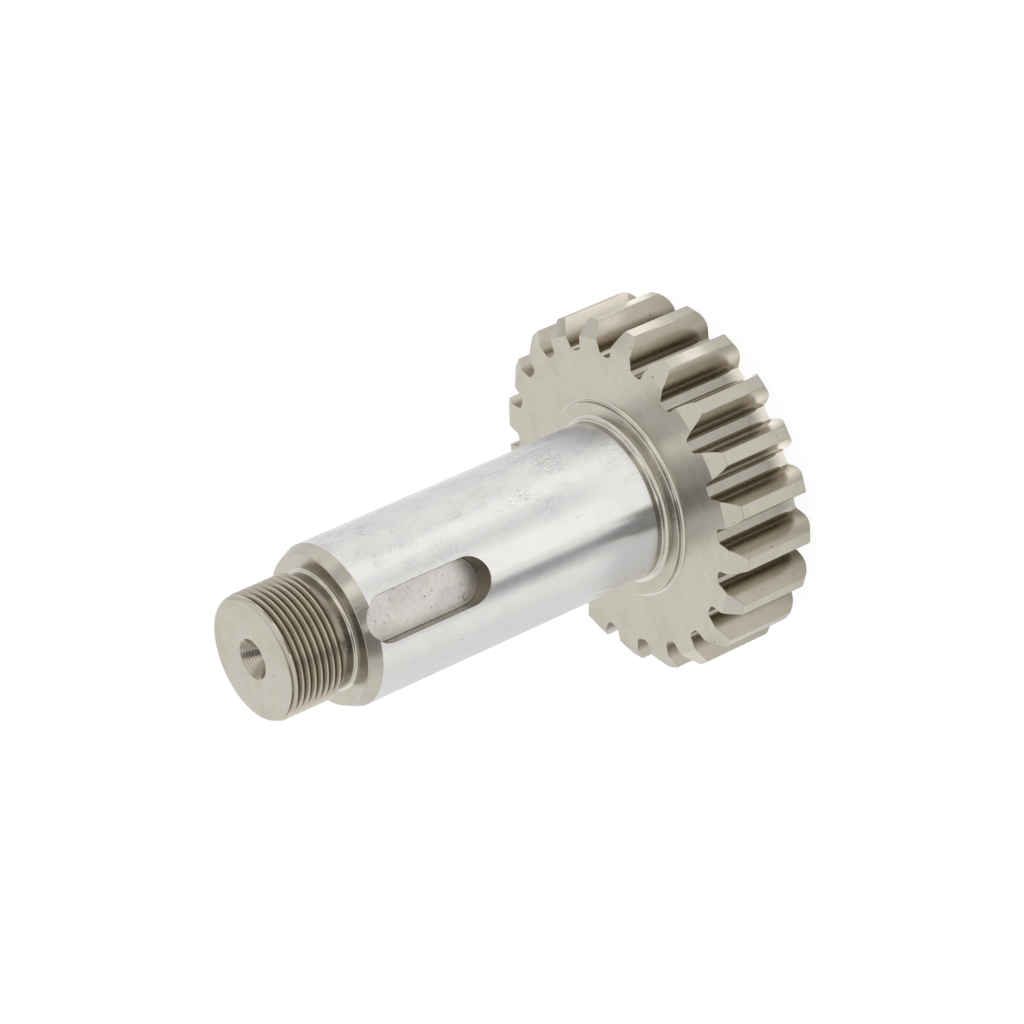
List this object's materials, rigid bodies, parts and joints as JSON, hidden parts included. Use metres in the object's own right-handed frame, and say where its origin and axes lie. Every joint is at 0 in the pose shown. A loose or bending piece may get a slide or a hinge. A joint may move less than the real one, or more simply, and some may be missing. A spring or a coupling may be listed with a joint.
{
  "type": "pinion shaft",
  "caption": "One-piece steel shaft with a spur gear at one end, a ground journal with a round-ended keyway, and a fine-threaded end.",
  "frame": {"origin": "centre of the gear's back face, on the shaft's axis", "axes": "+Z along the shaft's axis from the gear to the threaded end; the keyway opens towards -Y; +X completes the right-handed frame"},
  "size_m": [0.078, 0.0777, 0.1145],
  "materials": {
    "steel": "bare steel: bright cylindrical grinding on the journal, satin turned and hobbed surfaces elsewhere"
  },
  "bodies": {
    "root": {"pinion_shaft": "steel"}
  },
  "joints": []
}
